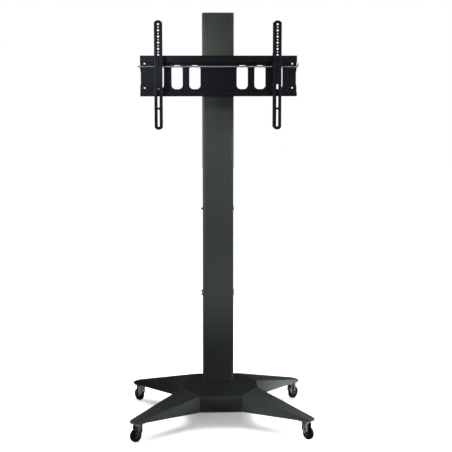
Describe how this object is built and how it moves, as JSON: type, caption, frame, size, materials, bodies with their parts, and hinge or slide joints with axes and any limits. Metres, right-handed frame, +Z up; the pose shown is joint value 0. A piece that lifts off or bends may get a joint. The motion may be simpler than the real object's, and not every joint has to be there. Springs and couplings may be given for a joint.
{
  "type": "monitor floor stand",
  "caption": "Castored floor stand for a screen: low base with splayed legs, folded column, and a sliding wall plate carrying two slotted arms.",
  "frame": {"origin": "on the floor under the middle of the base, which is the centre of the bounding box's bottom face", "axes": "+X to the right seen from the front, +Y to the rear, +Z up; the screen side faces -Y"},
  "size_m": [0.7496, 0.651, 1.722],
  "materials": {
    "stand_paint": "satin powder coat, dark greenish grey",
    "bracket_paint": "satin powder coat, bluish black",
    "zinc": "bright zinc plating",
    "screw_steel": "zinc plated fasteners",
    "ball_steel": "polished bearing balls",
    "bar_steel": "drawn steel rod",
    "wheel_plastic": "moulded wheel centre",
    "wheel_rubber": "black tread",
    "black_plastic": "fine moulded texture",
    "nylon": "plain nylon"
  },
  "bodies": {
    "stand": {"hub_cover": "stand_paint", "hub_plate": "stand_paint", "leg_front_left": "stand_paint", "leg_front_right": "stand_paint", "leg_rear_left": "stand_paint", "leg_rear_right": "stand_paint", "leg_bolts": "screw_steel", "leg_nuts": "screw_steel", "castor_plates": "zinc", "castor_bolts": "screw_steel", "castor_balls": "ball_steel", "castor_kingpins": "screw_steel", "column_profile": "stand_paint", "column_foot": "stand_paint", "column_foot_bolts": "screw_steel", "column_stiffeners": "stand_paint", "rear_cover_lower": "stand_paint", "rear_cover_upper": "stand_paint", "cover_screws": "screw_steel", "cover_nuts": "screw_steel", "column_cap": "black_plastic", "accessory_nuts": "screw_steel"},
    "swivel_front_left": {"castor_fork_front_left": "zinc", "castor_axle_front_left": "screw_steel"},
    "wheel_front_left": {"castor_hub_front_left": "wheel_plastic", "castor_tyre_front_left": "wheel_rubber"},
    "swivel_front_right": {"castor_fork_front_right": "zinc", "castor_axle_front_right": "screw_steel"},
    "wheel_front_right": {"castor_hub_front_right": "wheel_plastic", "castor_tyre_front_right": "wheel_rubber"},
    "swivel_rear_left": {"castor_fork_rear_left": "zinc", "castor_axle_rear_left": "screw_steel"},
    "wheel_rear_left": {"castor_hub_rear_left": "wheel_plastic", "castor_tyre_rear_left": "wheel_rubber"},
    "swivel_rear_right": {"castor_fork_rear_right": "zinc", "castor_axle_rear_right": "screw_steel"},
    "wheel_rear_right": {"castor_hub_rear_right": "wheel_plastic", "castor_tyre_rear_right": "wheel_rubber"},
    "carriage": {"carriage_sleeve": "stand_paint", "carriage_glides": "nylon", "mount_rails": "bracket_paint", "wall_plate": "bracket_paint", "plate_screws": "screw_steel"},
    "knob_lower": {"clamp_knob_lower": "black_plastic"},
    "knob_upper": {"clamp_knob_upper": "black_plastic"},
    "arm_left": {"arm_left": "bracket_paint", "arm_spacer_left": "black_plastic"},
    "arm_right": {"arm_right": "bracket_paint", "arm_spacer_right": "black_plastic"},
    "lock_bar": {"lock_bar": "bar_steel"}
  },
  "joints": [
    {"name": "castor_swivel_front_left", "type": "hinge", "parent": "stand", "child": "swivel_front_left", "pos_m": [-0.33952, -0.28998, 0.07], "axis": [0, 0, 1], "continuous": true},
    {"name": "castor_roll_front_left", "type": "hinge", "parent": "swivel_front_left", "child": "wheel_front_left", "pos_m": [-0.35054, -0.29956, 0.027], "axis": [0.6561, -0.7547, 0], "continuous": true},
    {"name": "castor_swivel_front_right", "type": "hinge", "parent": "stand", "child": "swivel_front_right", "pos_m": [0.33952, -0.28998, 0.07], "axis": [0, 0, 1], "continuous": true},
    {"name": "castor_roll_front_right", "type": "hinge", "parent": "swivel_front_right", "child": "wheel_front_right", "pos_m": [0.34851, -0.30148, 0.027], "axis": [0.788, 0.6157, 0], "continuous": true},
    {"name": "castor_swivel_rear_left", "type": "hinge", "parent": "stand", "child": "swivel_rear_left", "pos_m": [-0.33952, 0.28998, 0.07], "axis": [0, 0, 1], "continuous": true},
    {"name": "castor_roll_rear_left", "type": "hinge", "parent": "swivel_rear_left", "child": "wheel_rear_left", "pos_m": [-0.3491, 0.301, 0.027], "axis": [-0.7547, -0.6561, 0], "continuous": true},
    {"name": "castor_swivel_rear_right", "type": "hinge", "parent": "stand", "child": "swivel_rear_right", "pos_m": [0.33952, 0.28998, 0.07], "axis": [0, 0, 1], "continuous": true},
    {"name": "castor_roll_rear_right", "type": "hinge", "parent": "swivel_rear_right", "child": "wheel_rear_right", "pos_m": [0.35037, 0.29975, 0.027], "axis": [-0.6691, 0.7431, 0], "continuous": true},
    {"name": "carriage_height", "type": "slide", "parent": "stand", "child": "carriage", "axis": [0, 0, 1], "range_m": [-0.48, 0.18]},
    {"name": "knob_lower_turn", "type": "hinge", "parent": "carriage", "child": "knob_lower", "pos_m": [0, 0.17, 1.421], "axis": [0, 1, 0], "range_deg": [0, 720]},
    {"name": "knob_upper_turn", "type": "hinge", "parent": "carriage", "child": "knob_upper", "pos_m": [0, 0.17, 1.501], "axis": [0, 1, 0], "range_deg": [0, 720]},
    {"name": "arm_left_slide", "type": "slide", "parent": "carriage", "child": "arm_left", "axis": [1, 0, 0], "range_m": [-0.058, 0.21]},
    {"name": "arm_right_slide", "type": "slide", "parent": "carriage", "child": "arm_right", "axis": [1, 0, 0], "range_m": [-0.2, 0.067]},
    {"name": "lock_bar_slide", "type": "slide", "parent": "carriage", "child": "lock_bar", "axis": [1, 0, 0], "range_m": [0, 0.6]}
  ]
}
